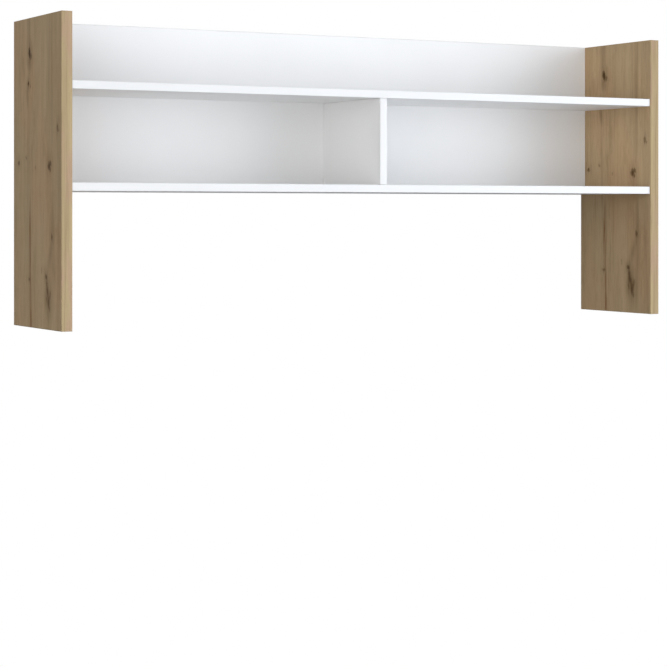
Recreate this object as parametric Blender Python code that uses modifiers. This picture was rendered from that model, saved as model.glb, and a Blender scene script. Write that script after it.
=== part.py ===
"""Desk hutch: two oak-decor side panels carry two white shelves, a divider and a back panel.

The hutch stands on a desk on the bottom edges of its side panels. X runs from the left panel
to the right one, Y from the front edges to the rear, and Z is up. The origin is the centre of
the footprint. Every board is edged with a thin band wherever its edge shows, and the boards
are joined by cam locks, dowels and screws.
"""

import math

import bmesh
import bpy
from mathutils import Matrix, Vector

# Driving dimensions, in metres.
WIDTH = 1.400
DEPTH = 0.262
HEIGHT = 0.604
SIDE_THICKNESS = 0.022
BOARD_THICKNESS = 0.016
LOWER_SHELF_UNDERSIDE = 0.265
UPPER_SHELF_UNDERSIDE = 0.458
SHELF_SETBACK = 0.002
BACK_SETBACK = 0.001
BAND_THICKNESS = 0.001
BAND_ROUNDING = 0.0007
ARRIS = 0.0003
GAP = 0.0003

# Cam locks. Along the joint, distances count from the face that the bolt is screwed into.
CAM_RADIUS = 0.0075
CAM_HEIGHT = 0.012
CAM_INSET = 0.034
CAM_CAVITY_RADIUS = 0.0057
CAM_CAVITY_HEIGHT = 0.0072
CAM_SLOT_HEIGHT = 0.0044
CROSS_LENGTH = 0.0078
CROSS_WIDTH = 0.0014
CROSS_DEPTH = 0.0022
CAM_FROM_EDGE = 0.055
BOLT_BORE_RADIUS = 0.004
THREAD_RADIUS = 0.0025
THREAD_DEPTH = 0.0105
THREAD_RIDGES = 3
STEM_RADIUS = 0.003
STEM_END = 0.025
NECK_RADIUS = 0.0018
HEAD_START = 0.0318
HEAD_END = 0.0348
HEAD_RADIUS = 0.0031
COLLAR_RADIUS = 0.0036
COLLAR_THICKNESS = 0.001

# Dowels between the divider and the shelves.
DOWEL_RADIUS = 0.004
DOWEL_LENGTH = 0.030
DOWEL_IN_SHELF = 0.010
DOWEL_CHAMFER = 0.001
DOWEL_FLUTES = 12
FLUTE_DEPTH = 0.0003
DOWEL_FROM_CENTRE = 0.050

# Screws through the back panel into the rear edges of the shelves, and their caps.
SCREW_LENGTH = 0.050
SCREW_RADIUS = 0.0035
SCREW_CORE_RADIUS = 0.0025
SCREW_SHANK_RADIUS = 0.0031
SCREW_HEAD_RADIUS = 0.005
SCREW_HEAD_HEIGHT = 0.003
SCREW_TIP_LENGTH = 0.005
SCREW_RIDGES = 6
SCREW_SPACING = 0.450
HEX_ACROSS_FLATS = 0.004
HEX_DEPTH = 0.0025
CAP_RADIUS = 0.0065
CAP_THICKNESS = 0.0005

# Facets round a turned piece or a bore.
FINE_FACETS = 20
COARSE_FACETS = 10
SMOOTH_ANGLE = math.radians(40)

# Colour, roughness and metallic value of each material.
FINISHES = {
    "oak_decor": ((0.42, 0.32, 0.20), 0.55, 0.0),
    "oak_edging": ((0.46, 0.35, 0.23), 0.50, 0.0),
    "white_melamine": ((0.86, 0.86, 0.85), 0.40, 0.0),
    "white_edging": ((0.88, 0.88, 0.87), 0.35, 0.0),
    "zinc": ((0.58, 0.58, 0.60), 0.35, 1.0),
    "steel": ((0.70, 0.68, 0.62), 0.30, 1.0),
    "beech": ((0.62, 0.43, 0.26), 0.70, 0.0),
    "cap_plastic": ((0.86, 0.86, 0.84), 0.45, 0.0),
}

# Planes worked out from the driving dimensions.
SIDE_INNER_X = WIDTH / 2 - SIDE_THICKNESS
FRONT_Y = -DEPTH / 2
REAR_Y = DEPTH / 2
SHELF_FRONT_Y = FRONT_Y + SHELF_SETBACK
BACK_REAR_Y = REAR_Y - BACK_SETBACK
BACK_FRONT_Y = BACK_REAR_Y - BOARD_THICKNESS
LOWER_SHELF_TOP = LOWER_SHELF_UNDERSIDE + BOARD_THICKNESS
BAND_AND_GAP = BAND_THICKNESS + GAP

LEFT = -1
RIGHT = 1
SIDES = (("left", LEFT), ("right", RIGHT))


def clear_scene():
    for obj in list(bpy.data.objects):
        bpy.data.objects.remove(obj, do_unlink=True)


def new_collection(name):
    collection = bpy.data.collections.new(name)
    bpy.context.scene.collection.children.link(collection)
    return collection


def new_material(name):
    colour, roughness, metallic = FINISHES[name]
    material = bpy.data.materials.new(name)
    material.use_nodes = True
    shader = material.node_tree.nodes["Principled BSDF"]
    shader.inputs["Base Color"].default_value = (*colour, 1.0)
    shader.inputs["Roughness"].default_value = roughness
    shader.inputs["Metallic"].default_value = metallic
    return material


clear_scene()
PARTS = new_collection("desk_hutch")
HELPERS = new_collection("cutters")
MATERIALS = {name: new_material(name) for name in FINISHES}
ROOT = bpy.data.objects.new("desk_hutch_origin", None)
PARTS.objects.link(ROOT)


def add_object(name, mesh, place, material=None, collection=PARTS):
    """An object with its mesh at a place, which is a matrix. Parts hang from the root."""
    obj = bpy.data.objects.new(name, mesh)
    collection.objects.link(obj)
    obj.matrix_world = place
    if material:
        obj.parent = ROOT
        if not mesh.materials:
            mesh.materials.append(MATERIALS[material])
    return obj


def add_helper(name, mesh, place):
    """A cutter, or the template of a piece that is made several times."""
    helper = add_object(name, mesh, place, collection=HELPERS)
    helper.hide_render = True
    helper.display_type = "WIRE"
    return helper


def subtract(obj, cutter):
    modifier = obj.modifiers.new(cutter.name, "BOOLEAN")
    modifier.operation = "DIFFERENCE"
    modifier.solver = "EXACT"
    modifier.object = cutter


def box_mesh(name, size, rounded_face=None, rounding=0.0):
    """A box about its own centre. The edges of the face that looks along rounded_face are rounded."""
    bm = bmesh.new()
    bmesh.ops.create_cube(bm, size=1.0, matrix=Matrix.Diagonal((*size, 1.0)))
    if rounded_face:
        outer = [face for face in bm.faces if face.normal.dot(rounded_face) > 0.5]
        bmesh.ops.bevel(
            bm,
            geom=list(outer[0].edges),
            offset=rounding,
            segments=3,
            profile=0.5,
            affect="EDGES",
        )
    mesh = bpy.data.meshes.new(name)
    bm.to_mesh(mesh)
    bm.free()
    return mesh


def cylinder_mesh(name, radius, length, facets):
    """A cylinder along +Z, with its foot at the origin."""
    bm = bmesh.new()
    bmesh.ops.create_cone(
        bm,
        cap_ends=True,
        segments=facets,
        radius1=radius,
        radius2=radius,
        depth=length,
        matrix=Matrix.Translation((0, 0, length / 2)),
    )
    mesh = bpy.data.meshes.new(name)
    bm.to_mesh(mesh)
    bm.free()
    return mesh


def add_turned(name, profile, facets):
    """A turned template, from (radius, height) points, top to bottom."""
    bm = bmesh.new()
    corners = [bm.verts.new((radius, 0, height)) for radius, height in profile]
    for upper, lower in zip(corners, corners[1:]):
        bm.edges.new((upper, lower))
    mesh = bpy.data.meshes.new(name)
    bm.to_mesh(mesh)
    bm.free()
    obj = add_helper(name, mesh, Matrix())
    screw = obj.modifiers.new("turn", "SCREW")
    screw.steps = facets
    screw.render_steps = facets
    screw.use_merge_vertices = True
    screw.merge_threshold = 0.00001
    return obj


def finished_mesh(template, smooth=True):
    """The evaluated mesh of a template, which is then removed, for copies that share it."""
    bpy.context.view_layer.update()
    graph = bpy.context.evaluated_depsgraph_get()
    mesh = bpy.data.meshes.new_from_object(template.evaluated_get(graph))
    mesh.transform(template.matrix_world)
    mesh.name = template.name
    if smooth:
        mesh.shade_smooth()
        mesh.set_sharp_from_angle(angle=SMOOTH_ANGLE)
    used = [modifier.object for modifier in template.modifiers if modifier.type == "BOOLEAN"]
    for obj in [template, *used]:
        bpy.data.objects.remove(obj, do_unlink=True)
    return mesh


def middle(low, high):
    return (Vector(low) + Vector(high)) / 2


def add_board(name, low, high, material):
    """A board between two corners, with its sharp arrises taken off."""
    mesh = box_mesh(name, Vector(high) - Vector(low))
    board = add_object(name, mesh, Matrix.Translation(middle(low, high)), material)
    arris = board.modifiers.new("arris", "BEVEL")
    arris.width = ARRIS
    arris.segments = 1
    return board


def add_band(name, low, high, outward, material):
    """An edge band between two corners, with its outer edges rounded."""
    mesh = box_mesh(name, Vector(high) - Vector(low), Vector(outward), BAND_ROUNDING)
    return add_object(name, mesh, Matrix.Translation(middle(low, high)), material)


def placement(origin, local_x, local_z):
    """The matrix that turns local X and Z into the two directions, at the origin given."""
    z_axis = Vector(local_z)
    x_axis = Vector(local_x)
    turned = Matrix((x_axis, z_axis.cross(x_axis), z_axis)).transposed()
    return Matrix.Translation(Vector(origin)) @ turned.to_4x4()


def pointing(origin, direction):
    """The matrix that turns +Z into a direction."""
    rotation = Vector((0, 0, 1)).rotation_difference(Vector(direction))
    return Matrix.Translation(Vector(origin)) @ rotation.to_matrix().to_4x4()


def bore(board, name, mouth, direction, radius, depth, facets=COARSE_FACETS):
    """Drills a blind hole from a point on a face, in the direction given."""
    start = Vector(mouth) - Vector(direction) * GAP
    mesh = cylinder_mesh(name, radius, depth + GAP, facets)
    subtract(board, add_helper(name, mesh, pointing(start, direction)))


def thread_profile(core, crest, start, end, ridges):
    """(radius, height) points of a row of ridges, from start up to end, listed from the end down."""
    pitch = (end - start) / ridges
    points = []
    for ridge in range(ridges):
        top = end - ridge * pitch
        points += [(core, top), (crest, top - pitch / 2)]
    return points


def add_side_panels():
    """The two upright panels, each a core with a band on all four edges."""
    panels = {}
    for word, side in SIDES:
        outer_x = side * WIDTH / 2
        inner_x = side * SIDE_INNER_X
        low_x, high_x = sorted((outer_x, inner_x))
        panel_name = f"{word}_side_panel"
        panels[word] = add_board(
            panel_name,
            (low_x, FRONT_Y + BAND_AND_GAP, BAND_AND_GAP),
            (high_x, REAR_Y - BAND_AND_GAP, HEIGHT - BAND_AND_GAP),
            "oak_decor",
        )
        for place, outward, low_y, high_y in (
            ("front", (0, -1, 0), FRONT_Y, FRONT_Y + BAND_THICKNESS),
            ("rear", (0, 1, 0), REAR_Y - BAND_THICKNESS, REAR_Y),
        ):
            add_band(
                f"{word}_side_{place}_band",
                (low_x, low_y, 0),
                (high_x, high_y, HEIGHT),
                outward,
                "oak_edging",
            )
        for place, outward, low_z, high_z in (
            ("bottom", (0, 0, -1), 0, BAND_THICKNESS),
            ("top", (0, 0, 1), HEIGHT - BAND_THICKNESS, HEIGHT),
        ):
            add_band(
                f"{word}_side_{place}_band",
                (low_x, FRONT_Y + BAND_AND_GAP, low_z),
                (high_x, REAR_Y - BAND_AND_GAP, high_z),
                outward,
                "oak_edging",
            )
    return panels


def add_shelf(name, underside):
    """A shelf between the side panels, in front of the back panel, banded on its front edge."""
    reach = SIDE_INNER_X - GAP
    top = underside + BOARD_THICKNESS
    add_band(
        f"{name}_front_band",
        (-reach, SHELF_FRONT_Y, underside),
        (reach, SHELF_FRONT_Y + BAND_THICKNESS, top),
        (0, -1, 0),
        "white_edging",
    )
    return add_board(
        name,
        (-reach, SHELF_FRONT_Y + BAND_AND_GAP, underside),
        (reach, BACK_FRONT_Y - GAP, top),
        "white_melamine",
    )


def add_divider():
    """The upright in the middle, between the two shelves."""
    half = BOARD_THICKNESS / 2
    foot = LOWER_SHELF_TOP + GAP
    head = UPPER_SHELF_UNDERSIDE - GAP
    add_band(
        "divider_front_band",
        (-half, SHELF_FRONT_Y, foot),
        (half, SHELF_FRONT_Y + BAND_THICKNESS, head),
        (0, -1, 0),
        "white_edging",
    )
    return add_board(
        "divider",
        (-half, SHELF_FRONT_Y + BAND_AND_GAP, foot),
        (half, BACK_FRONT_Y - GAP, head),
        "white_melamine",
    )


def add_back_panel():
    """The back panel, between the side panels and behind the shelves."""
    reach = SIDE_INNER_X - GAP
    for place, outward, low_z, high_z in (
        ("bottom", (0, 0, -1), LOWER_SHELF_UNDERSIDE, LOWER_SHELF_UNDERSIDE + BAND_THICKNESS),
        ("top", (0, 0, 1), HEIGHT - BAND_THICKNESS, HEIGHT),
    ):
        add_band(
            f"back_panel_{place}_band",
            (-reach, BACK_FRONT_Y, low_z),
            (reach, BACK_REAR_Y, high_z),
            outward,
            "white_edging",
        )
    return add_board(
        "back_panel",
        (-reach, BACK_FRONT_Y, LOWER_SHELF_UNDERSIDE + BAND_AND_GAP),
        (reach, BACK_REAR_Y, HEIGHT - BAND_AND_GAP),
        "white_melamine",
    )


def cam_mesh():
    """A cam: a disc with a cross in its top face, hollow inside, and open on the bolt's side.

    Its top face is at the origin and looks along +Z, and the bolt comes in along +X.
    """
    template = add_helper(
        "cam",
        cylinder_mesh("cam", CAM_RADIUS, CAM_HEIGHT, FINE_FACETS),
        Matrix.Translation((0, 0, -CAM_HEIGHT)),
    )
    bolt_height = GAP - BOARD_THICKNESS / 2
    cavity = cylinder_mesh("cam_cavity", CAM_CAVITY_RADIUS, CAM_CAVITY_HEIGHT, FINE_FACETS)
    cavity_foot = bolt_height - CAM_CAVITY_HEIGHT / 2
    subtract(template, add_helper("cam_cavity", cavity, Matrix.Translation((0, 0, cavity_foot))))
    slot_reach = CAM_RADIUS + GAP
    slot = box_mesh("cam_slot", (slot_reach, 2 * slot_reach, CAM_SLOT_HEIGHT))
    slot_place = Matrix.Translation((-slot_reach / 2, 0, bolt_height))
    subtract(template, add_helper("cam_slot", slot, slot_place))
    for arm, size in (
        ("cross_along", (CROSS_LENGTH, CROSS_WIDTH, 2 * CROSS_DEPTH)),
        ("cross_over", (CROSS_WIDTH, CROSS_LENGTH, 2 * CROSS_DEPTH)),
    ):
        subtract(template, add_helper(arm, box_mesh(arm, size), Matrix()))
    return finished_mesh(template)


def cam_bolt_mesh():
    """A cam bolt along +Z, with the origin on the face that it is screwed into."""
    thread_end = -GAP
    profile = [
        (0, HEAD_END),
        (HEAD_RADIUS * 0.7, HEAD_END),
        (HEAD_RADIUS, HEAD_END - (HEAD_END - HEAD_START) / 3),
        (HEAD_RADIUS, HEAD_START + (HEAD_END - HEAD_START) / 3),
        (NECK_RADIUS, HEAD_START),
        (NECK_RADIUS, STEM_END + STEM_RADIUS - NECK_RADIUS),
        (STEM_RADIUS, STEM_END),
        (STEM_RADIUS, GAP + COLLAR_THICKNESS),
        (COLLAR_RADIUS, GAP + COLLAR_THICKNESS),
        (COLLAR_RADIUS, GAP),
        (NECK_RADIUS, GAP),
        *thread_profile(NECK_RADIUS, THREAD_RADIUS, -THREAD_DEPTH, thread_end, THREAD_RIDGES),
        (NECK_RADIUS, -THREAD_DEPTH),
        (0, -THREAD_DEPTH),
    ]
    return finished_mesh(add_turned("cam_bolt", profile, COARSE_FACETS))


def add_cam_lock(name, parts, meshes, seat, across, along):
    """A cam and its bolt, with their bores.

    parts are the panel that takes the bolt and the board that takes the cam. seat is the point
    on the panel's face where the bolt goes in, across the direction from the panel into the
    board, and along the outward direction of the face that the cam shows in.
    """
    panel, board = parts
    cam, bolt = meshes
    seat = Vector(seat)
    across = Vector(across)
    along = Vector(along)
    cam_axis = seat + across * CAM_INSET
    face = cam_axis + along * BOARD_THICKNESS / 2
    end = seat + across * GAP
    bore(board, f"{name}_cam_bore", face, -along, CAM_RADIUS + GAP, CAM_HEIGHT + 2 * GAP, FINE_FACETS)
    bore(board, f"{name}_bolt_bore", end, across, BOLT_BORE_RADIUS, CAM_INSET - GAP)
    bore(panel, f"{name}_thread_bore", seat, -across, THREAD_RADIUS + GAP, THREAD_DEPTH + GAP)
    add_object(f"{name}_cam", cam, placement(face - along * GAP, across, along), "zinc")
    add_object(f"{name}_bolt", bolt, pointing(seat, across), "steel")


def add_cam_locks(panels, upper_shelf, lower_shelf, back_panel):
    """Two cam locks at each end of each shelf, and of the back panel."""
    meshes = (cam_mesh(), cam_bolt_mesh())
    shelf_rear_y = BACK_FRONT_Y - GAP
    shelf_rows = (
        ("front", SHELF_FRONT_Y + CAM_FROM_EDGE),
        ("rear", shelf_rear_y - CAM_FROM_EDGE),
    )
    back_rows = (
        ("low", LOWER_SHELF_UNDERSIDE + CAM_FROM_EDGE),
        ("high", HEIGHT - CAM_FROM_EDGE),
    )
    back_middle_y = BACK_FRONT_Y + BOARD_THICKNESS / 2
    for word, side in SIDES:
        across = (-side, 0, 0)
        inner_x = side * SIDE_INNER_X
        for shelf, underside, up in (
            (upper_shelf, UPPER_SHELF_UNDERSIDE, 1),
            (lower_shelf, LOWER_SHELF_UNDERSIDE, -1),
        ):
            for row, y in shelf_rows:
                add_cam_lock(
                    f"{shelf.name}_{word}_{row}",
                    (panels[word], shelf),
                    meshes,
                    (inner_x, y, underside + BOARD_THICKNESS / 2),
                    across,
                    (0, 0, up),
                )
        for row, z in back_rows:
            add_cam_lock(
                f"back_panel_{word}_{row}",
                (panels[word], back_panel),
                meshes,
                (inner_x, back_middle_y, z),
                across,
                (0, 1, 0),
            )


def dowel_mesh():
    """A fluted dowel along +Z, with its foot at the origin."""
    template = add_turned(
        "dowel",
        [
            (0, DOWEL_LENGTH),
            (DOWEL_RADIUS - DOWEL_CHAMFER, DOWEL_LENGTH),
            (DOWEL_RADIUS, DOWEL_LENGTH - DOWEL_CHAMFER),
            (DOWEL_RADIUS, DOWEL_CHAMFER),
            (DOWEL_RADIUS - DOWEL_CHAMFER, 0),
            (0, 0),
        ],
        2 * DOWEL_FLUTES,
    )
    mesh = finished_mesh(template, smooth=False)
    for vertex in mesh.vertices:
        radius = math.hypot(vertex.co.x, vertex.co.y)
        turn = math.atan2(vertex.co.y, vertex.co.x) * DOWEL_FLUTES / math.pi
        if radius > DOWEL_RADIUS / 2 and round(turn) % 2:
            vertex.co.x *= 1 - FLUTE_DEPTH / radius
            vertex.co.y *= 1 - FLUTE_DEPTH / radius
    return mesh


def add_dowels(divider, upper_shelf, lower_shelf):
    """Two dowels under the divider and two over it."""
    mesh = dowel_mesh()
    hole_radius = DOWEL_RADIUS + GAP
    in_divider = DOWEL_LENGTH - DOWEL_IN_SHELF
    for shelf, face_z, end_z, up in (
        (lower_shelf, LOWER_SHELF_TOP, LOWER_SHELF_TOP + GAP, 1),
        (upper_shelf, UPPER_SHELF_UNDERSIDE, UPPER_SHELF_UNDERSIDE - GAP, -1),
    ):
        for row, y in (("front", -DOWEL_FROM_CENTRE), ("rear", DOWEL_FROM_CENTRE)):
            name = f"{shelf.name}_dowel_{row}"
            into_divider = Vector((0, 0, up))
            bore(shelf, f"{name}_shelf_bore", (0, y, face_z), -into_divider, hole_radius,
                 DOWEL_IN_SHELF + GAP)
            bore(divider, f"{name}_divider_bore", (0, y, end_z), into_divider, hole_radius,
                 in_divider + GAP)
            foot = Vector((0, y, face_z)) - into_divider * DOWEL_IN_SHELF
            add_object(name, mesh, pointing(foot, into_divider), "beech")


def screw_mesh():
    """A panel screw along -Z, with the top of its head at the origin and a hexagon socket in it."""
    thread_top = -SCREW_HEAD_HEIGHT - BOARD_THICKNESS * 2 / 3
    thread_foot = -SCREW_LENGTH + SCREW_TIP_LENGTH
    template = add_turned(
        "panel_screw",
        [
            (0, 0),
            (SCREW_HEAD_RADIUS, 0),
            (SCREW_HEAD_RADIUS, -SCREW_HEAD_HEIGHT / 3),
            (SCREW_SHANK_RADIUS, -SCREW_HEAD_HEIGHT),
            (SCREW_SHANK_RADIUS, thread_top + SCREW_SHANK_RADIUS - SCREW_CORE_RADIUS),
            *thread_profile(SCREW_CORE_RADIUS, SCREW_RADIUS, thread_foot, thread_top, SCREW_RIDGES),
            (SCREW_CORE_RADIUS, thread_foot),
            (0, -SCREW_LENGTH),
        ],
        COARSE_FACETS,
    )
    corner_radius = HEX_ACROSS_FLATS / math.sqrt(3)
    socket = cylinder_mesh("socket", corner_radius, 2 * HEX_DEPTH, 6)
    socket_place = Matrix.Translation((0, 0, -HEX_DEPTH))
    subtract(template, add_helper("socket", socket, socket_place))
    return finished_mesh(template)


def cap_mesh():
    """A stick-on cap along +Z, slightly domed, with its flat side at the origin."""
    edge = CAP_THICKNESS / 2
    profile = [
        (0, CAP_THICKNESS),
        (CAP_RADIUS - 2 * CAP_THICKNESS, CAP_THICKNESS),
        (CAP_RADIUS - edge, CAP_THICKNESS - edge / 3),
        (CAP_RADIUS, edge),
        (CAP_RADIUS, 0),
        (0, 0),
    ]
    return finished_mesh(add_turned("screw_cap", profile, FINE_FACETS))


def add_back_screws(back_panel, upper_shelf, lower_shelf):
    """Three screws through the back panel into each shelf, each under its cap."""
    screw = screw_mesh()
    cap = cap_mesh()
    forward = (0, -1, 0)
    head_depth = GAP + SCREW_HEAD_HEIGHT
    shelf_rear_y = BACK_FRONT_Y - GAP
    for shelf, underside in (
        (upper_shelf, UPPER_SHELF_UNDERSIDE),
        (lower_shelf, LOWER_SHELF_UNDERSIDE),
    ):
        z = underside + BOARD_THICKNESS / 2
        for word, x in (("left", -SCREW_SPACING), ("middle", 0), ("right", SCREW_SPACING)):
            name = f"{shelf.name}_screw_{word}"
            face = Vector((x, BACK_REAR_Y, z))
            head = face + Vector(forward) * GAP
            bore(back_panel, f"{name}_head_bore", face, forward, SCREW_HEAD_RADIUS + GAP, head_depth)
            bore(back_panel, f"{name}_shank_bore", face, forward, SCREW_RADIUS + GAP,
                 BOARD_THICKNESS + GAP)
            bore(shelf, f"{name}_thread_bore", (x, shelf_rear_y, z), forward, SCREW_RADIUS + GAP,
                 SCREW_LENGTH - BOARD_THICKNESS + GAP)
            add_object(name, screw, placement(head, (1, 0, 0), (0, 1, 0)), "steel")
            cap_seat = face + Vector((0, GAP, 0))
            add_object(f"{name}_cap", cap, placement(cap_seat, (1, 0, 0), (0, 1, 0)), "cap_plastic")


def build():
    panels = add_side_panels()
    upper_shelf = add_shelf("upper_shelf", UPPER_SHELF_UNDERSIDE)
    lower_shelf = add_shelf("lower_shelf", LOWER_SHELF_UNDERSIDE)
    divider = add_divider()
    back_panel = add_back_panel()
    add_cam_locks(panels, upper_shelf, lower_shelf, back_panel)
    add_dowels(divider, upper_shelf, lower_shelf)
    add_back_screws(back_panel, upper_shelf, lower_shelf)


build()
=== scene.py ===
"""The looks of the desk hutch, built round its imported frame: oak decor, white melamine and fittings."""

import math

import bmesh
import bpy
from mathutils import Matrix, Vector


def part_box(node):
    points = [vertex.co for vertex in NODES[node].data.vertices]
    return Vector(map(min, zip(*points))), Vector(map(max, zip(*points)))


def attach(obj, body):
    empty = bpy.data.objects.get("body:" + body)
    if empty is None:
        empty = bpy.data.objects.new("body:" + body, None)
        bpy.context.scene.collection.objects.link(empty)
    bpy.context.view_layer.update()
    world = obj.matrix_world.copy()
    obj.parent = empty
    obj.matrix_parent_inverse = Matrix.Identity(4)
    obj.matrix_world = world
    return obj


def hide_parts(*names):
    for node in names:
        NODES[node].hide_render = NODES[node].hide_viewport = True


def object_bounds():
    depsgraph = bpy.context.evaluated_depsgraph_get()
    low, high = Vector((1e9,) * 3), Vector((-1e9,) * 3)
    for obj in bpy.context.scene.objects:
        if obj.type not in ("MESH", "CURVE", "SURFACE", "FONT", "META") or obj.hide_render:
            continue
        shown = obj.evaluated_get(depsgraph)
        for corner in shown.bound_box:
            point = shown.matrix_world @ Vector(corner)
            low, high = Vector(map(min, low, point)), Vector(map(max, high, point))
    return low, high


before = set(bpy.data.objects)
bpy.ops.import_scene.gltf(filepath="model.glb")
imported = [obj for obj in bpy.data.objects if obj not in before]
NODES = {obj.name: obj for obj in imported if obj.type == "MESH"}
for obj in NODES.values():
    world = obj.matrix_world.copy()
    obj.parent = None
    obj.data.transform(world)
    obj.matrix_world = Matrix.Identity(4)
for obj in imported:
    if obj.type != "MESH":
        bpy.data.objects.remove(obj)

CAD_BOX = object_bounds()
SCENE = bpy.context.scene

# The view: a level camera in front of the hutch and to its left, in metres and degrees.
CAMERA_PLACE = (-2.0875, -3.7361, 0.2262)
CAMERA_TURN = 28.651
CAMERA_LENS = 110.02
CAMERA_SHIFT_Y = -0.1830
SENSOR_WIDTH = 36.0

# Four soft lights far off, in turn the key, the fill, the top and the rear light.
# Each has its azimuth from the front, to the right, its elevation, its tightness and its colour.
SOFT_LIGHTS = (
    (50, -3, 8, (4.3, 4.5, 4.8)),
    (-42, 0, 8, (3.1, 3.1, 3.1)),
    (0, 90, 4, (0.6, 0.6, 0.6)),
    (170, 15, 8, (2.5, 2.5, 2.5)),
)
EVEN_LIGHT = (0.01, 0.01, 0.01)
FLOOR_REACH = 20.0
FLOOR_DROP = 0.0005

# Colours are linear.
OAK_PALE = (0.59, 0.43, 0.26)
OAK_MID = (0.50, 0.35, 0.20)
OAK_DARK = (0.30, 0.20, 0.10)
OAK_RED = (0.51, 0.33, 0.19)
OAK_GREY = (0.46, 0.36, 0.22)
STREAK_BROWN = (0.150, 0.088, 0.040)
CRACK_BROWN = (0.185, 0.060, 0.014)
KNOT_BROWN = (0.120, 0.070, 0.030)
KNOT_CORE = (0.070, 0.034, 0.011)
EDGE_PALE = (0.51, 0.39, 0.22)
EDGE_MID = (0.42, 0.32, 0.18)
EDGE_RED = (0.46, 0.32, 0.21)
EDGE_DARK = (0.30, 0.21, 0.11)
CHIPBOARD_PALE = (0.520, 0.400, 0.260)
CHIPBOARD_DARK = (0.300, 0.205, 0.120)
WHITE = (0.90, 0.90, 0.90)
WHITE_EDGE = (0.86, 0.86, 0.86)
CAP_WHITE = (0.830, 0.830, 0.820)
ZINC = (0.520, 0.520, 0.530)
PLATED_STEEL = (0.640, 0.620, 0.560)
BEECH_PALE = (0.640, 0.450, 0.280)
BEECH_DARK = (0.480, 0.310, 0.180)

# The printed decor of the side panels, in millimetres: depth from the front edge and height.
# Knots: depth, height, half width, half height, lean in degrees, darkness, length of the crack.
KNOTS = (
    (172, 536, 8, 13, -6, 0.86, 26),
    (164, 528, 7, 9, 30, 0.45, 0),
    (178, 476, 6, 7, 0, 0.80, 20),
    (168, 470, 3, 5, 0, 0.55, 0),
    (21, 385, 6, 9, 10, 0.40, 26),
    (15, 379, 4, 5, 0, 0.30, 0),
    (65, 313, 9, 11, 0, 0.70, 18),
    (57, 318, 5, 8, -25, 0.50, 0),
    (58, 305, 4, 6, 20, 0.50, 0),
    (232, 322, 7, 6, 0, 0.55, 16),
    (51, 177, 7, 8, 0, 0.40, 34),
    (173, 94, 8, 5, 0, 0.38, 16),
    (81, 101, 7, 6, 0, 0.55, 12),
    (77, 88, 4, 8, 0, 0.36, 0),
    (74, 74, 6, 11, -14, 0.27, 0),
    (68, 50, 8, 14, -6, 0.26, 16),
    (60, 66, 5, 12, 16, 0.30, 0),
    (79, 58, 4, 10, -22, 0.26, 0),
    (62, 40, 4, 8, 12, 0.30, 0),
    (190, 331, 5, 4, 0, 0.28, 10),
    (140, 312, 3, 7, 8, 0.24, 0),
    (105, 112, 3, 9, 0, 0.20, 0),
)
# Streaks: depth, height of the middle, half width, half length, lean in degrees, darkness.
STREAKS = (
    (176, 592, 16, 62, 0, 0.42),
    (173, 515, 15, 26, 0, 0.34),
    (184, 450, 9, 40, -4, 0.42),
    (148, 110, 3, 100, 0, 0.34),
    (155, 60, 3, 90, 0, 0.20),
    (52, 480, 9, 190, 0, 0.26),
    (66, 520, 3, 130, 0, 0.20),
    (33, 520, 4, 160, 0, 0.16),
    (46, 215, 10, 66, -3, 0.30),
    (62, 140, 13, 48, 20, 0.34),
    (70, 66, 30, 74, -8, 0.30),
    (74, 76, 9, 44, -12, 0.50),
    (64, 58, 7, 30, 6, 0.35),
    (80, 66, 4, 40, 3, 0.25),
    (56, 300, 30, 420, 0, 0.14),
    (176, 330, 26, 420, 0, 0.16),
    (262, 300, 34, 800, 0, 0.22),
    (0, 300, 36, 800, 0, 0.16),
    (46, 120, 24, 120, 0, 0.20),
    (150, 395, 4, 70, 2, 0.14),
    (158, 330, 5, 50, -3, 0.16),
    (110, 350, 6, 60, 2, 0.10),
    (20, 280, 15, 420, 0, 0.10),
    (70, 58, 30, 72, -6, 0.25),
)
# Cracks, drawn darker and redder.
CRACKS = (
    (170, 200, 6, 80, 3, 0.64),
    (167, 130, 6, 95, 2, 0.70),
    (165, 60, 6, 60, 0, 0.62),
    (164, 12, 7, 46, -1, 0.80),
    (172, 150, 3, 90, 1, 0.35),
)
# Pale flecks between the streaks.
FLECKS = (
    (86, 470, 13, 170, 0, 0.26),
    (60, 505, 3, 110, 0, 0.26),
    (66, 400, 3, 60, 0, 0.34),
    (57, 380, 3, 66, 1, 0.30),
    (47, 350, 4, 30, 12, 0.20),
    (160, 400, 3, 50, -2, 0.20),
    (112, 440, 22, 260, 0, 0.18),
    (115, 170, 26, 150, 0, 0.18),
    (130, 285, 14, 24, 0, 0.16),
    (86, 540, 8, 90, 0, 0.12),
)


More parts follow.
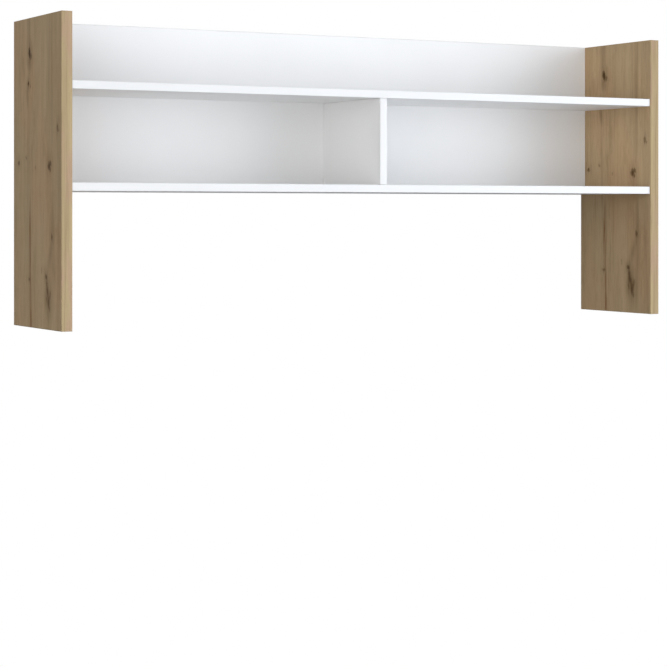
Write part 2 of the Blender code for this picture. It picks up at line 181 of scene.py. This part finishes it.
class Tree:
    """A material's node tree. Each method adds a node and returns its output."""

    def __init__(self, name):
        self.material = bpy.data.materials.new(name)
        self.material.use_nodes = True
        self.nodes = self.material.node_tree.nodes
        self.links = self.material.node_tree.links
        self.shader = self.nodes["Principled BSDF"]

    def add(self, kind, inputs=(), output=0, **settings):
        node = self.nodes.new(kind)
        for key, value in settings.items():
            setattr(node, key, value)
        for key, value in dict(inputs).items():
            self.feed(node.inputs[key], value)
        return node.outputs[output]

    def feed(self, socket, value):
        if isinstance(value, bpy.types.NodeSocket):
            self.links.new(value, socket)
        elif isinstance(value, tuple) and len(value) == 3 and socket.type == "RGBA":
            socket.default_value = (*value, 1.0)
        else:
            socket.default_value = value

    def place(self):
        """The point on the surface, in the frame's metres."""
        return self.add("ShaderNodeTexCoord", output="Object")

    def parts(self, vector):
        node = self.nodes.new("ShaderNodeSeparateXYZ")
        self.links.new(vector, node.inputs[0])
        return tuple(node.outputs)

    def join(self, x, y, z):
        return self.add("ShaderNodeCombineXYZ", {0: x, 1: y, 2: z})

    def math(self, operation, first, second=0.0, clamp=False):
        return self.add("ShaderNodeMath", {0: first, 1: second}, operation=operation, use_clamp=clamp)

    def times(self, first, second):
        return self.math("MULTIPLY", first, second)

    def total(self, *values):
        result = values[0]
        for value in values[1:]:
            result = self.math("ADD", result, value)
        return result

    def centred(self, value, size):
        """A value from 0 to 1 as a shift of up to half the size either way."""
        return self.times(self.math("SUBTRACT", value, 0.5), size)

    def ramp(self, value, low, high, out_low=0.0, out_high=1.0):
        """Maps low..high smoothly to out_low..out_high."""
        return self.add(
            "ShaderNodeMapRange",
            {0: value, 1: low, 2: high, 3: out_low, 4: out_high},
            interpolation_type="SMOOTHSTEP",
        )

    def mix(self, factor, first, second):
        return self.add(
            "ShaderNodeMix", {0: factor, 6: first, 7: second}, output=2, data_type="RGBA"
        )

    def stain(self, colour, amount, strength, pigment):
        """The colour with up to the given strength of a pigment in it."""
        return self.mix(self.math("MULTIPLY", amount, strength, clamp=True), colour, pigment)

    def noise(self, vector, scales, detail=2.0, roughness=0.5, seed=0):
        """Noise from 0 to 1. scales are its features per metre along each axis."""
        moved = self.add(
            "ShaderNodeVectorMath",
            {0: vector, 1: scales, 2: (7.3 * seed, 3.1 * seed, 5.7 * seed)},
            operation="MULTIPLY_ADD",
        )
        return self.add(
            "ShaderNodeTexNoise",
            {"Vector": moved, "Scale": 1.0, "Detail": detail, "Roughness": roughness},
        )

    def bump(self, height, distance, strength):
        return self.add(
            "ShaderNodeBump", {"Height": height, "Distance": distance, "Strength": strength}
        )

    def mark(self, place, depth, height, half_width, half_height, lean):
        """1 in the middle of an ellipse, falling to 0 at its edge, and the place across it."""
        local = self.add(
            "ShaderNodeMapping",
            {
                "Vector": place,
                "Location": (depth / 1000, height / 1000, 0),
                "Rotation": (0, 0, math.radians(lean)),
                "Scale": (half_width / 1000, half_height / 1000, 1),
            },
            vector_type="TEXTURE",
        )
        falloff = self.add("ShaderNodeTexGradient", {0: local}, output=1, gradient_type="SPHERICAL")
        return falloff, local

    def marks(self, place, table):
        """The sum of soft ellipses, each as dark as its last value says."""
        shades = []
        for *shape, darkness in table:
            falloff, _ = self.mark(place, *shape)
            shades.append(self.ramp(falloff, 0.0, 1.0, 0.0, darkness))
        return self.total(*shades)

    def finish(self, **sockets):
        """Feeds the shader's sockets, named with underscores for spaces."""
        for key, value in sockets.items():
            self.feed(self.shader.inputs[key.replace("_", " ")], value)
        return self.material


def chipboard(tree, place):
    """The colour of pressed chips, and their relief."""
    flakes = tree.add(
        "ShaderNodeTexVoronoi", {"Vector": place, "Scale": 420.0, "Randomness": 1.0}, output="Color"
    )
    shade = tree.parts(flakes)[0]
    dust = tree.noise(place, (900, 900, 900))
    mixed = tree.total(tree.times(shade, 0.6), tree.times(dust, 0.5))
    return tree.mix(mixed, CHIPBOARD_DARK, CHIPBOARD_PALE), shade


def within(tree, value, low, high, margin=0.0004):
    """1 where a coordinate lies inside a board, more than a margin from both of its faces."""
    above = tree.math("GREATER_THAN", value, low + margin)
    below = tree.math("LESS_THAN", value, high - margin)
    return tree.times(above, below)


def print_place(tree, place):
    """Depth and height on the print, in metres. A board's two faces carry different parts of it."""
    _, y, z = tree.parts(place)
    facing = tree.parts(tree.add("ShaderNodeTexCoord", output="Normal"))[0]
    other = tree.math("GREATER_THAN", facing, 0.0)
    this = tree.math("SUBTRACT", 1.0, other)
    front = CAD_BOX[0].y
    rear = CAD_BOX[1].y
    top = CAD_BOX[1].z
    depth = tree.total(
        tree.times(tree.math("SUBTRACT", y, front), this),
        tree.times(tree.math("SUBTRACT", rear, y), other),
    )
    height = tree.total(
        tree.times(z, this), tree.times(tree.math("SUBTRACT", top, z), other)
    )
    return depth, height


def knots(tree, ragged):
    """Knots: their dark hearts, brown rings, cracks and surrounds, and how far the grain bows."""
    hearts, rings, cracks, surrounds, bows = [], [], [], [], []
    for depth, height, half_width, half_height, lean, darkness, crack in KNOTS:
        heart, _ = tree.mark(ragged, depth, height, half_width, half_height, lean)
        hearts.append(tree.ramp(heart, 0.15, 0.75, 0.0, darkness))
        rings.append(tree.ramp(heart, 0.0, 0.30, 0.0, 0.75 * darkness))
        if crack:
            split, _ = tree.mark(ragged, depth, height, 0.32 * half_width, crack, lean)
            cracks.append(tree.ramp(split, 0.0, 0.8, 0.0, 0.8 * darkness))
            surround, local = tree.mark(
                ragged, depth, height, 3.4 * half_width, 3.8 * half_height, lean
            )
            surrounds.append(tree.ramp(surround, 0.0, 1.0, 0.0, darkness))
            across = tree.times(tree.parts(local)[0], surround)
            bows.append(tree.times(across, 0.0034 * half_width * darkness))
    return tuple(tree.total(*group) for group in (hearts, rings, cracks, surrounds, bows))


def oak_decor():
    """Knotty oak, printed upright on the side panels, and their chipboard inside."""
    tree = Tree("oak_decor")
    place = tree.place()
    x = tree.parts(place)[0]
    depth, height = print_place(tree, place)
    flat = tree.join(depth, height, 0.0)

    # A little waviness, so that nothing on the print is quite straight.
    slow = tree.centred(tree.noise(flat, (4, 5, 1), detail=1), 0.010)
    medium = tree.centred(tree.noise(flat, (34, 11, 1), detail=2, seed=3), 0.008)
    fine = tree.centred(tree.noise(flat, (260, 110, 1), detail=3, roughness=0.6, seed=4), 0.009)
    waved = tree.total(depth, slow, medium)
    ragged = tree.join(
        tree.total(depth, tree.times(medium, 0.5), fine), tree.total(height, fine), 0.0
    )
    soft = tree.join(tree.total(depth, tree.times(medium, 0.6), tree.times(fine, 0.25)), height, 0.0)

    hearts, rings, splits, surrounds, bows = knots(tree, ragged)
    bent = tree.math("SUBTRACT", waved, bows)
    grain = tree.join(bent, height, x)

    # Grain: broad bands, streaks, fine fibres and pores, all drawn out along the board.
    bands = tree.noise(grain, (26, 0.9, 3), seed=1)
    streaks = tree.noise(grain, (110, 2.8, 3), detail=4, roughness=0.65, seed=2)
    lines = tree.noise(grain, (330, 9, 3), detail=3, roughness=0.6, seed=8)
    fibres = tree.noise(grain, (900, 24, 3), detail=2, roughness=0.6, seed=5)
    pores = tree.noise(grain, (1500, 42, 3), detail=1, seed=6)
    tint = tree.noise(flat, (9, 3.0, 1), detail=2, seed=7)
    blotch = tree.noise(flat, (34, 13, 1), detail=3, roughness=0.6, seed=9)

    colour = tree.mix(tree.ramp(tint, 0.38, 0.62), OAK_GREY, OAK_RED)
    colour = tree.mix(0.60, colour, OAK_MID)
    colour = tree.mix(tree.ramp(bands, 0.45, 0.75, 0.0, 0.55), colour, OAK_PALE)
    colour = tree.mix(tree.ramp(streaks, 0.52, 0.78, 0.0, 0.40), colour, OAK_DARK)
    colour = tree.mix(tree.ramp(streaks, 0.46, 0.26, 0.0, 0.35), colour, OAK_PALE)
    colour = tree.mix(tree.ramp(lines, 0.54, 0.74, 0.0, 0.32), colour, OAK_DARK)
    colour = tree.mix(tree.ramp(fibres, 0.50, 0.75, 0.0, 0.34), colour, OAK_DARK)
    colour = tree.mix(tree.ramp(fibres, 0.48, 0.25, 0.0, 0.25), colour, OAK_PALE)
    colour = tree.mix(tree.ramp(blotch, 0.54, 0.74, 0.0, 0.28), colour, OAK_DARK)
    open_pores = tree.ramp(pores, 0.60, 0.72)
    colour = tree.mix(tree.times(open_pores, 0.22), colour, STREAK_BROWN)

    broken = tree.ramp(streaks, 0.30, 0.62, 0.7, 1.2)
    flecks = tree.marks(soft, FLECKS)
    colour = tree.stain(colour, flecks, 1.3, OAK_PALE)
    shade = tree.times(tree.marks(soft, STREAKS), broken)
    colour = tree.stain(colour, shade, 0.8, STREAK_BROWN)
    crack = tree.times(tree.marks(soft, CRACKS), tree.ramp(lines, 0.30, 0.60, 0.6, 1.25))
    colour = tree.stain(colour, crack, 0.85, CRACK_BROWN)
    round_knot = tree.times(surrounds, tree.ramp(lines, 0.35, 0.65, 0.10, 0.42))
    colour = tree.stain(colour, round_knot, 1.0, STREAK_BROWN)
    colour = tree.stain(colour, rings, 0.80, KNOT_BROWN)
    colour = tree.stain(colour, splits, 0.85, KNOT_CORE)
    colour = tree.stain(colour, hearts, 1.0, KNOT_CORE)

    # Bare chipboard in the bores and under the bands.
    low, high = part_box("right_side_panel")
    inside = within(tree, tree.math("ABSOLUTE", x), low.x, high.x)
    chips, chip_relief = chipboard(tree, place)
    colour = tree.mix(inside, colour, chips)

    relief = tree.total(
        tree.times(open_pores, -1.0),
        tree.times(fibres, 0.6),
        tree.times(hearts, -1.2),
        tree.times(tree.times(chip_relief, inside), 6.0),
    )
    gloss = tree.noise(flat, (35, 12, 1), detail=3, seed=10)
    roughness = tree.total(
        tree.ramp(gloss, 0.3, 0.7, 0.52, 0.62),
        tree.times(open_pores, 0.08),
        tree.times(inside, 0.3),
    )
    return tree.finish(
        Base_Color=colour,
        Roughness=roughness,
        Normal=tree.bump(relief, 0.00006, 0.6),
        Specular_IOR_Level=0.06,
    )


def oak_edging(name, along):
    """An oak print on edge band, with its grain along the band: 1 is Y and 2 is Z."""
    tree = Tree(name)
    place = tree.place()

    def drawn(across_scale, along_scale):
        scales = [across_scale] * 3
        scales[along] = along_scale
        return tuple(scales)

    bands = tree.noise(place, drawn(90, 2.0), seed=11)
    streaks = tree.noise(place, drawn(260, 5.0), detail=3, roughness=0.6, seed=12)
    fibres = tree.noise(place, drawn(1100, 18), seed=13)
    pores = tree.noise(place, drawn(1800, 60), detail=1, seed=14)
    blotch = tree.noise(place, drawn(40, 9), detail=3, seed=15)
    colour = tree.mix(tree.ramp(bands, 0.3, 0.7), EDGE_MID, EDGE_PALE)
    colour = tree.mix(tree.ramp(blotch, 0.46, 0.62, 0.0, 0.9), colour, EDGE_RED)
    colour = tree.mix(tree.ramp(streaks, 0.50, 0.72, 0.0, 0.70), colour, EDGE_DARK)
    colour = tree.mix(tree.ramp(streaks, 0.46, 0.28, 0.0, 0.60), colour, EDGE_PALE)
    colour = tree.mix(tree.ramp(fibres, 0.50, 0.75, 0.0, 0.30), colour, EDGE_DARK)
    open_pores = tree.ramp(pores, 0.60, 0.72)
    colour = tree.mix(tree.times(open_pores, 0.25), colour, EDGE_DARK)
    relief = tree.total(tree.times(fibres, 0.7), tree.times(open_pores, -0.8))
    return tree.finish(
        Base_Color=colour,
        Roughness=tree.ramp(streaks, 0.3, 0.7, 0.46, 0.58),
        Normal=tree.bump(relief, 0.00005, 0.6),
        Specular_IOR_Level=0.10,
    )


def white_board(name, axis, low, high):
    """White melamine on chipboard. The axis goes through the board, from low to high."""
    tree = Tree(name)
    place = tree.place()
    through = tree.parts(place)[axis]
    pearl = tree.noise(place, (700, 700, 700), detail=3, roughness=0.6, seed=21)
    cloud = tree.noise(place, (5, 5, 5), detail=3, seed=22)
    colour = tree.mix(tree.ramp(cloud, 0.35, 0.65), WHITE, tuple(0.985 * c for c in WHITE))
    inside = within(tree, through, low, high)
    chips, chip_relief = chipboard(tree, place)
    colour = tree.mix(inside, colour, chips)
    smudges = tree.noise(place, (14, 14, 14), detail=4, roughness=0.6, seed=23)
    roughness = tree.total(
        tree.ramp(smudges, 0.35, 0.7, 0.42, 0.52), tree.times(inside, 0.35)
    )
    relief = tree.total(pearl, tree.times(tree.times(chip_relief, inside), 4.0))
    return tree.finish(
        Base_Color=colour,
        Roughness=roughness,
        Normal=tree.bump(relief, 0.00004, 0.35),
        Specular_IOR_Level=0.35,
    )


def white_plastic(name, base, seed, roughness):
    """Moulded or extruded white plastic with a fine grain."""
    tree = Tree(name)
    place = tree.place()
    grain = tree.noise(place, (1200, 1200, 1200), seed=seed)
    cloud = tree.noise(place, (9, 9, 9), seed=seed + 1)
    colour = tree.mix(tree.ramp(cloud, 0.35, 0.65), base, tuple(0.98 * c for c in base))
    return tree.finish(
        Base_Color=colour,
        Roughness=tree.ramp(grain, 0.3, 0.7, roughness - 0.04, roughness + 0.04),
        Normal=tree.bump(grain, 0.00003, 0.4),
        Specular_IOR_Level=0.4,
    )


def metal(name, base, roughness_low, roughness_high, grain_scale, seed):
    """Metal with a fine grain and slight stains."""
    tree = Tree(name)
    place = tree.place()
    cast = tree.noise(place, (grain_scale,) * 3, detail=4, roughness=0.65, seed=seed)
    stain = tree.noise(place, (grain_scale / 6,) * 3, detail=3, seed=seed + 1)
    colour = tree.mix(tree.ramp(stain, 0.35, 0.7), base, tuple(0.75 * c for c in base))
    return tree.finish(
        Base_Color=colour,
        Metallic=1.0,
        Roughness=tree.ramp(cast, 0.3, 0.7, roughness_low, roughness_high),
        Normal=tree.bump(cast, 0.00008, 0.5),
    )


def beech():
    """Turned beech with its grain along Z, for the dowels."""
    tree = Tree("beech")
    place = tree.place()
    grain = tree.noise(place, (900, 900, 60), detail=3, roughness=0.6, seed=51)
    flecks = tree.noise(place, (2500, 2500, 300), detail=1, seed=52)
    colour = tree.mix(tree.ramp(grain, 0.3, 0.7), BEECH_PALE, BEECH_DARK)
    colour = tree.mix(tree.ramp(flecks, 0.6, 0.75, 0.0, 0.5), colour, BEECH_DARK)
    return tree.finish(
        Base_Color=colour,
        Roughness=tree.ramp(grain, 0.3, 0.7, 0.62, 0.78),
        Normal=tree.bump(grain, 0.0001, 0.5),
    )


def dress(node, material):
    NODES[node].material_slots[0].material = material


def dress_boards():
    """Materials for the boards, whose CAD meshes stay visible."""
    oak = oak_decor()
    dress("left_side_panel", oak)
    dress("right_side_panel", oak)
    for node, axis in (("upper_shelf", 2), ("lower_shelf", 2), ("divider", 0), ("back_panel", 1)):
        low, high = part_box(node)
        dress(node, white_board(f"white_{node}", axis, low[axis], high[axis]))


def dress_hidden_fittings():
    """Materials for the bolts, screws and dowels inside the joints."""
    steel = metal("plated_steel", PLATED_STEEL, 0.24, 0.38, 1500, 41)
    wood = beech()
    for node in NODES:
        if node.endswith("_bolt") or ("_screw_" in node and not node.endswith("_cap")):
            dress(node, steel)
        elif "_dowel_" in node:
            dress(node, wood)


def add_piece(name, mesh, node, material):
    """A piece in the frame's own coordinates that stands for a CAD node."""
    mesh.materials.append(material)
    piece = bpy.data.objects.new(name, mesh)
    SCENE.collection.objects.link(piece)
    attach(piece, "root")
    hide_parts(node)
    return piece


# Edge bands, in metres.
BAND_RADIUS = 0.0008
GLUE_REACH = 0.00028
SHARP_ANGLE = math.radians(35)
BEVEL_STEPS = 5
OUTWARD = {
    "front": (0, -1, 0),
    "rear": (0, 1, 0),
    "top": (0, 0, 1),
    "bottom": (0, 0, -1),
}


def smooth_mesh(name, bm):
    """The mesh, shaded smooth but for its sharp edges."""
    for face in bm.faces:
        face.smooth = True
    mesh = bpy.data.meshes.new(name)
    bm.to_mesh(mesh)
    bm.free()
    mesh.set_sharp_from_angle(angle=SHARP_ANGLE)
    return mesh


def edging_mesh(name, low, high, outward):
    """A band with its outer edges rounded, reaching inwards to the board that it is glued to."""
    outward = Vector(outward)
    low = Vector(low)
    high = Vector(high)
    for axis in range(3):
        if outward[axis] < 0:
            high[axis] += GLUE_REACH
        elif outward[axis] > 0:
            low[axis] -= GLUE_REACH
    bm = bmesh.new()
    place = Matrix.Translation((low + high) / 2) @ Matrix.Diagonal((*(high - low), 1.0))
    bmesh.ops.create_cube(bm, size=1.0, matrix=place)
    bm.normal_update()
    outer = max(bm.faces, key=lambda face: face.normal.dot(outward))
    bmesh.ops.bevel(
        bm,
        geom=list(outer.edges),
        offset=BAND_RADIUS,
        segments=BEVEL_STEPS,
        profile=0.5,
        affect="EDGES",
    )
    return smooth_mesh(name, bm)


def add_edging():
    """Rounded edge bands, each where its CAD node is."""
    oak_upright = oak_edging("oak_edging_upright", 2)
    oak_level = oak_edging("oak_edging_level", 1)
    white = white_plastic("white_edging", WHITE_EDGE, 31, 0.40)
    for node in sorted(NODES):
        if not node.endswith("_band"):
            continue
        place = node.split("_")[-2]
        name = node.replace("_band", "_edging")
        mesh = edging_mesh(name, *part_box(node), OUTWARD[place])
        if "_side_" in node:
            material = oak_upright if place in ("front", "rear") else oak_level
            add_piece(name, mesh, node, material)
        else:
            add_piece(name, mesh, node, white)


# Round fittings have this many sides.
FACETS = 64
# Cams, as shares of their radius and height or in metres.
CAM_CHAMFER = 0.0005
CAM_RING_IN = 0.66
CAM_RING_OUT = 0.78
CAM_RING_DEPTH = 0.00025
CAM_CAVITY_WIDTH = 0.76
CAM_CAVITY_HEIGHT = 0.6
CAM_SLOT_HEIGHT = 0.0044
CAM_SUNK = 0.0003
CROSS_FOOT = (0.0056, 0.0009)
CROSS_MOUTH = (0.0080, 0.0016)
CROSS_DEPTH = 0.0024
ARROW_TIP = 0.96
ARROW_ROOT = 0.82
ARROW_HALF_WIDTH = 0.10
ARROW_DEPTH = 0.0003
CUT_OVER = 0.0002


def turned(profile):
    """A solid of revolution about Z from (radius, height) points that start and end on the axis."""
    bm = bmesh.new()
    rows = []
    for radius, height in profile:
        if radius == 0:
            rows.append([bm.verts.new((0, 0, height))] * FACETS)
            continue
        turns = [2 * math.pi * step / FACETS for step in range(FACETS)]
        rows.append([
            bm.verts.new((radius * math.cos(turn), radius * math.sin(turn), height)) for turn in turns
        ])
    for upper, lower in zip(rows, rows[1:]):
        for step in range(FACETS):
            after = (step + 1) % FACETS
            bm.faces.new(dict.fromkeys((upper[step], lower[step], lower[after], upper[after])))
    bmesh.ops.recalc_face_normals(bm, faces=bm.faces)
    return bm


def drawn_out(sections):
    """A solid between two outlines, each with its height and its (x, y) corners."""
    bm = bmesh.new()
    low, high = ([bm.verts.new((x, y, z)) for x, y in corners] for z, corners in sections)
    bm.faces.new(low)
    bm.faces.new(high)
    for i in range(len(low)):
        j = (i + 1) % len(low)
        bm.faces.new((low[i], low[j], high[j], high[i]))
    bmesh.ops.recalc_face_normals(bm, faces=bm.faces)
    return bm


def rectangle(width, depth, centre_x=0.0):
    """The (x, y) corners of a rectangle, in order round it."""
    left = centre_x - width / 2
    right = centre_x + width / 2
    return [(left, -depth / 2), (right, -depth / 2), (right, depth / 2), (left, depth / 2)]


def carved(name, body, cutters):
    """The body with each of the cutters taken out of it."""
    helpers = []
    for index, bm in enumerate((body, *cutters)):
        helper = bpy.data.objects.new(name, smooth_mesh(f"{name}_{index}", bm))
        SCENE.collection.objects.link(helper)
        helpers.append(helper)
    for helper in helpers[1:]:
        cut = helpers[0].modifiers.new("cut", "BOOLEAN")
        cut.operation = "DIFFERENCE"
        cut.solver = "EXACT"
        cut.object = helper
    shape = helpers[0].evaluated_get(bpy.context.evaluated_depsgraph_get())
    mesh = bpy.data.meshes.new_from_object(shape)
    for helper in helpers:
        helper_mesh = helper.data
        bpy.data.objects.remove(helper)
        bpy.data.meshes.remove(helper_mesh)
    mesh.set_sharp_from_angle(angle=SHARP_ANGLE)
    return mesh


def cam_mesh(radius, height, bolt_depth):
    """A cast cam with its face at the origin, looking along +Z. The bolt comes in along +X."""
    body = turned((
        (0, 0),
        (radius * CAM_RING_IN, 0),
        (radius * CAM_RING_IN + CAM_RING_DEPTH, -CAM_RING_DEPTH),
        (radius * CAM_RING_OUT - CAM_RING_DEPTH, -CAM_RING_DEPTH),
        (radius * CAM_RING_OUT, 0),
        (radius - CAM_CHAMFER, 0),
        (radius, -CAM_CHAMFER),
        (radius, -height + CAM_CHAMFER),
        (radius - CAM_CHAMFER, -height),
        (0, -height),
    ))
    cavity_radius = radius * CAM_CAVITY_WIDTH
    cavity_top = -bolt_depth + height * CAM_CAVITY_HEIGHT / 2
    cavity_foot = -bolt_depth - height * CAM_CAVITY_HEIGHT / 2
    cavity = turned((
        (0, cavity_top), (cavity_radius, cavity_top), (cavity_radius, cavity_foot), (0, cavity_foot)
    ))
    reach = radius + CUT_OVER
    mouth = rectangle(reach, 2 * reach, -reach / 2)
    slot = drawn_out((
        (-bolt_depth - CAM_SLOT_HEIGHT / 2, mouth), (-bolt_depth + CAM_SLOT_HEIGHT / 2, mouth)
    ))
    along = [rectangle(*CROSS_FOOT), rectangle(*CROSS_MOUTH)]
    over = [[(-y, x) for x, y in corners] for corners in along]
    arms = [
        drawn_out(((-CROSS_DEPTH, foot), (CUT_OVER, mouth))) for foot, mouth in (along, over)
    ]
    arrow_corners = [
        (-radius * ARROW_TIP, 0),
        (-radius * ARROW_ROOT, -radius * ARROW_HALF_WIDTH),
        (-radius * ARROW_ROOT, radius * ARROW_HALF_WIDTH),
    ]
    arrow = drawn_out(((-ARROW_DEPTH, arrow_corners), (CUT_OVER, arrow_corners)))
    return carved("cam", body, (cavity, slot, *arms, arrow))


def cap_mesh(radius, thickness):
    """A stick-on cap along +Z, gently domed, with its flat side at the origin."""
    return smooth_mesh("cap", turned((
        (0, thickness),
        (radius * 0.25, thickness * 0.99),
        (radius * 0.50, thickness * 0.95),
        (radius * 0.70, thickness * 0.86),
        (radius * 0.84, thickness * 0.72),
        (radius * 0.93, thickness * 0.54),
        (radius * 0.98, thickness * 0.34),
        (radius, thickness * 0.14),
        (radius, 0),
        (0, 0),
    )))


def turned_place(origin, local_x, local_z):
    """The matrix that takes the origin, X and Z to the point and directions given."""
    local_x = Vector(local_x)
    local_z = Vector(local_z)
    turn = Matrix((local_x, local_z.cross(local_x), local_z)).transposed()
    return Matrix.Translation(origin) @ turn.to_4x4()


def add_cams_and_caps():
    """Cams and caps, each where its CAD node is."""
    zinc = metal("zinc_cast", ZINC, 0.36, 0.52, 2200, 44)
    plastic = white_plastic("cap_plastic", CAP_WHITE, 61, 0.48)
    for node in sorted(NODES):
        is_cam = node.endswith("_cam")
        if not is_cam and not node.endswith("_cap"):
            continue
        board = "_".join(node.split("_")[:2])
        low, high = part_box(node)
        middle = (low + high) / 2
        radius = (high.x - low.x) / 2
        if is_cam and board == "upper_shelf":
            facing = Vector((0, 0, 1))
        elif is_cam and board == "lower_shelf":
            facing = Vector((0, 0, -1))
        else:
            facing = Vector((0, 1, 0))
        height = abs((high - low).dot(facing))
        if is_cam:
            board_low, board_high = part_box(board)
            bolt_depth = abs((board_high - board_low).dot(facing)) / 2 - CAM_SUNK
            mesh = cam_mesh(radius, height, bolt_depth)
            inwards = (1, 0, 0) if "_left_" in node else (-1, 0, 0)
            mesh.transform(turned_place(middle + facing * height / 2, inwards, facing))
            add_piece(f"{node}_cast", mesh, node, zinc)
        else:
            mesh = cap_mesh(radius, height)
            mesh.transform(turned_place(middle - facing * height / 2, (1, 0, 0), facing))
            add_piece(f"{node}_domed", mesh, node, plastic)


def add_camera():
    camera = bpy.data.objects.new("camera", bpy.data.cameras.new("camera"))
    SCENE.collection.objects.link(camera)
    camera.location = CAMERA_PLACE
    camera.rotation_euler = (math.radians(90), 0, math.radians(-CAMERA_TURN))
    camera.data.lens = CAMERA_LENS
    camera.data.sensor_width = SENSOR_WIDTH
    camera.data.shift_y = CAMERA_SHIFT_Y
    SCENE.camera = camera


def add_floor():
    """A plain, pale floor, clear from below, where the underside is looked at."""
    bm = bmesh.new()
    bmesh.ops.create_grid(bm, x_segments=1, y_segments=1, size=FLOOR_REACH)
    mesh = bpy.data.meshes.new("floor")
    bm.to_mesh(mesh)
    bm.free()
    tree = Tree("floor")
    mesh.materials.append(
        tree.finish(
            Base_Color=(0.0, 0.0, 0.0), Roughness=0.9, Specular_IOR_Level=0.0,
            Emission_Color=(1.0, 1.0, 1.0), Emission_Strength=1.0,
        )
    )
    from_below = tree.add("ShaderNodeNewGeometry", output="Backfacing")
    clear = tree.add("ShaderNodeBsdfTransparent")
    surface = tree.add("ShaderNodeMixShader", {0: from_below, 1: tree.shader.outputs[0], 2: clear})
    tree.feed(tree.nodes["Material Output"].inputs["Surface"], surface)
    floor = bpy.data.objects.new("floor", mesh)
    SCENE.collection.objects.link(floor)
    floor.location.z = -FLOOR_DROP
    floor.visible_diffuse = False
    floor.visible_glossy = False
    floor.visible_shadow = False


def set_world():
    """A white surround to the camera. To everything else, the four soft lights."""
    world = bpy.data.worlds.new("studio")
    SCENE.world = world
    world.use_nodes = True
    nodes = world.node_tree.nodes
    links = world.node_tree.links
    nodes.clear()
    seen = nodes.new("ShaderNodeBackground")
    seen.inputs["Color"].default_value = (1.0, 1.0, 1.0, 1.0)
    direction = nodes.new("ShaderNodeTexCoord").outputs["Generated"]
    glow = None
    for azimuth, elevation, tightness, colour in SOFT_LIGHTS:
        azimuth = math.radians(azimuth)
        elevation = math.radians(elevation)
        dot = nodes.new("ShaderNodeVectorMath")
        dot.operation = "DOT_PRODUCT"
        links.new(direction, dot.inputs[0])
        dot.inputs[1].default_value = (
            math.sin(azimuth) * math.cos(elevation),
            -math.cos(azimuth) * math.cos(elevation),
            math.sin(elevation),
        )
        facing = nodes.new("ShaderNodeMath")
        facing.operation = "MAXIMUM"
        links.new(dot.outputs["Value"], facing.inputs[0])
        facing.inputs[1].default_value = 0.0
        lobe = nodes.new("ShaderNodeMath")
        lobe.operation = "POWER"
        links.new(facing.outputs[0], lobe.inputs[0])
        lobe.inputs[1].default_value = tightness
        tinted = nodes.new("ShaderNodeVectorMath")
        tinted.operation = "MULTIPLY_ADD"
        links.new(lobe.outputs[0], tinted.inputs[0])
        tinted.inputs[1].default_value = colour
        if glow:
            links.new(glow, tinted.inputs[2])
        else:
            tinted.inputs[2].default_value = EVEN_LIGHT
        glow = tinted.outputs[0]
    light = nodes.new("ShaderNodeBackground")
    links.new(glow, light.inputs["Color"])
    path = nodes.new("ShaderNodeLightPath")
    choose = nodes.new("ShaderNodeMixShader")
    output = nodes.new("ShaderNodeOutputWorld")
    links.new(path.outputs["Is Camera Ray"], choose.inputs[0])
    links.new(light.outputs[0], choose.inputs[1])
    links.new(seen.outputs[0], choose.inputs[2])
    links.new(choose.outputs[0], output.inputs["Surface"])
    SCENE.view_settings.view_transform = "Standard"


add_camera()
dress_boards()
dress_hidden_fittings()
add_edging()
add_cams_and_caps()
add_floor()
set_world()
